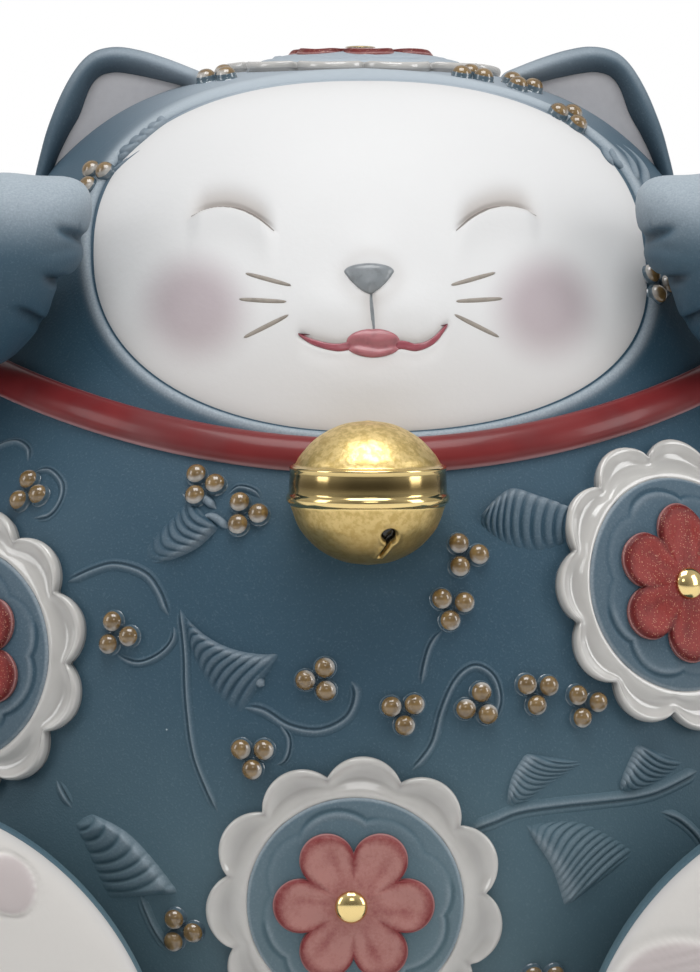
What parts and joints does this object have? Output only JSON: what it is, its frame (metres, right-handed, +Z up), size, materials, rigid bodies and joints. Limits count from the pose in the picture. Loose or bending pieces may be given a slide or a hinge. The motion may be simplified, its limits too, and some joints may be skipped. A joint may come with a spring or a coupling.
{
  "type": "cat figurine",
  "caption": "Round seated ceramic lucky cat with a smiling white face, raised paws, a belled collar and applied floral ornaments, free-standing on a flat base.",
  "frame": {"origin": "on the resting plane, under the middle of the cat", "axes": "+Z up, -Y towards the viewer that the face looks at, +X towards the viewer's right"},
  "size_m": [0.2142, 0.1938, 0.1923],
  "materials": {
    "blue_bisque": "matte dusty blue bisque with a fine grain, lighter where it is raised",
    "pale_blue_bisque": "matte pale grey-blue bisque, airbrushed over dark blue",
    "white_bisque": "smooth satin white bisque with soft tinted shading",
    "rose_grey_bisque": "matte pale rose-grey bisque",
    "burgundy_glaze": "high-gloss burgundy glaze, paler where it thins at the edges",
    "gold_lustre": "fired gold lustre, mirror bright on the band and satin on the domes",
    "ivory_glaze": "glossy ivory glaze pooling round the lobes",
    "rose_enamel": "semi-matte rose enamel with darker raised rims",
    "deep_red_enamel": "semi-matte deep red enamel with a fine metallic glitter",
    "ochre_glaze": "glossy ochre-brown glaze domes on pale slip"
  },
  "bodies": {
    "root": {"body_casting": "blue_bisque", "head_casting": "blue_bisque", "arm_left": "blue_bisque", "arm_right": "blue_bisque", "leg_left": "blue_bisque", "leg_right": "blue_bisque", "tail": "blue_bisque", "ear_left": "pale_blue_bisque", "ear_right": "pale_blue_bisque", "face_plate": "white_bisque", "sole_left": "white_bisque", "ear_inlay_left": "rose_grey_bisque", "sole_right": "white_bisque", "ear_inlay_right": "rose_grey_bisque", "collar_band": "burgundy_glaze", "bell": "gold_lustre", "ring_belly": "ivory_glaze", "disc_belly": "blue_bisque", "flower_belly": "rose_enamel", "stud_belly": "gold_lustre", "ring_right": "ivory_glaze", "disc_right": "blue_bisque", "flower_right": "deep_red_enamel", "stud_right": "gold_lustre", "ring_left": "ivory_glaze", "disc_left": "blue_bisque", "flower_left": "deep_red_enamel", "stud_left": "gold_lustre", "ring_crown": "ivory_glaze", "disc_crown": "blue_bisque", "flower_crown": "deep_red_enamel", "stud_crown": "gold_lustre", "ring_back_left": "ivory_glaze", "disc_back_left": "blue_bisque", "flower_back_left": "deep_red_enamel", "stud_back_left": "gold_lustre", "ring_back_right": "ivory_glaze", "disc_back_right": "blue_bisque", "flower_back_right": "deep_red_enamel", "stud_back_right": "gold_lustre", "bead_cluster_01": "ochre_glaze", "bead_cluster_02": "ochre_glaze", "bead_cluster_03": "ochre_glaze", "bead_cluster_04": "ochre_glaze", "bead_cluster_05": "ochre_glaze", "bead_cluster_06": "ochre_glaze", "bead_cluster_07": "ochre_glaze", "bead_cluster_08": "ochre_glaze", "bead_cluster_09": "ochre_glaze", "bead_cluster_10": "ochre_glaze", "bead_cluster_11": "ochre_glaze", "bead_cluster_12": "ochre_glaze", "bead_cluster_13": "ochre_glaze", "bead_cluster_14": "ochre_glaze", "bead_cluster_15": "ochre_glaze", "bead_cluster_16": "ochre_glaze", "bead_cluster_17": "ochre_glaze", "bead_cluster_18": "ochre_glaze", "bead_cluster_19": "ochre_glaze", "bead_cluster_20": "ochre_glaze"}
  },
  "joints": []
}
